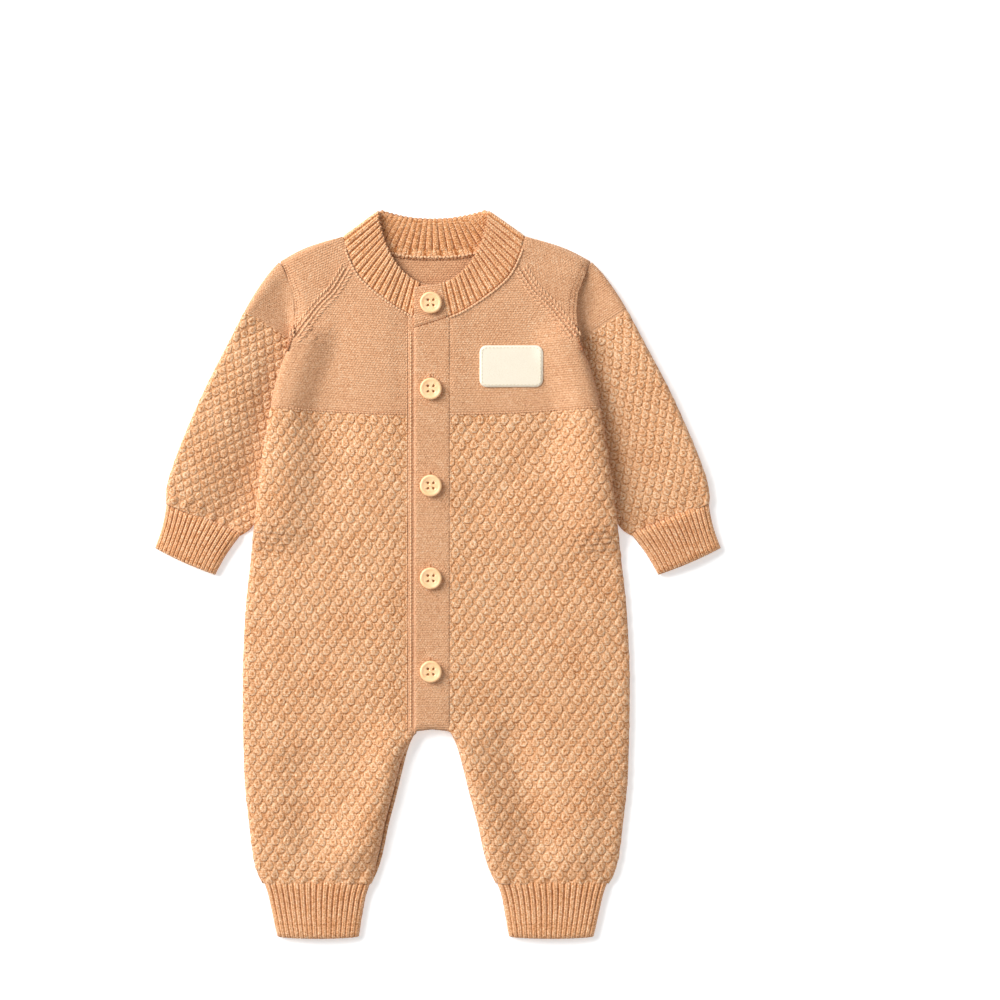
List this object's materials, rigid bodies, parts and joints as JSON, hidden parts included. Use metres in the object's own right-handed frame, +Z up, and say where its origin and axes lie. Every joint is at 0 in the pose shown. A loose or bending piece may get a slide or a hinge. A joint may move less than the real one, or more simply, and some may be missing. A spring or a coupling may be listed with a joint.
{
  "type": "baby romper",
  "caption": "Long-sleeved knitted baby romper laid flat on its back, with a buttoned front band, ribbed collar and cuffs and a plain chest patch.",
  "frame": {"origin": "under the middle of the garment's outline, on the surface that it lies on", "axes": "+Z up from the surface, +Y from the legs towards the collar, +X towards the wearer's left sleeve"},
  "size_m": [0.392, 0.5038, 0.0121],
  "materials": {
    "knit": "soft camel cotton knit, plain on the yoke and bands and a raised bubble stitch below",
    "rib": "soft camel cotton rib knit",
    "patch": "matte cream woven cloth",
    "button": "satin cream plastic"
  },
  "bodies": {
    "root": {"back": "knit", "front_right": "knit", "front_left": "knit", "sleeve_right": "knit", "sleeve_left": "knit", "band_under": "knit", "band_buttonhole": "knit", "collar": "rib", "sleeve_cuff_right": "rib", "sleeve_cuff_left": "rib", "leg_cuff_right": "rib", "leg_cuff_left": "rib", "patch": "patch", "button_1": "button", "button_2": "button", "button_3": "button", "button_4": "button", "button_5": "button"}
  },
  "joints": []
}
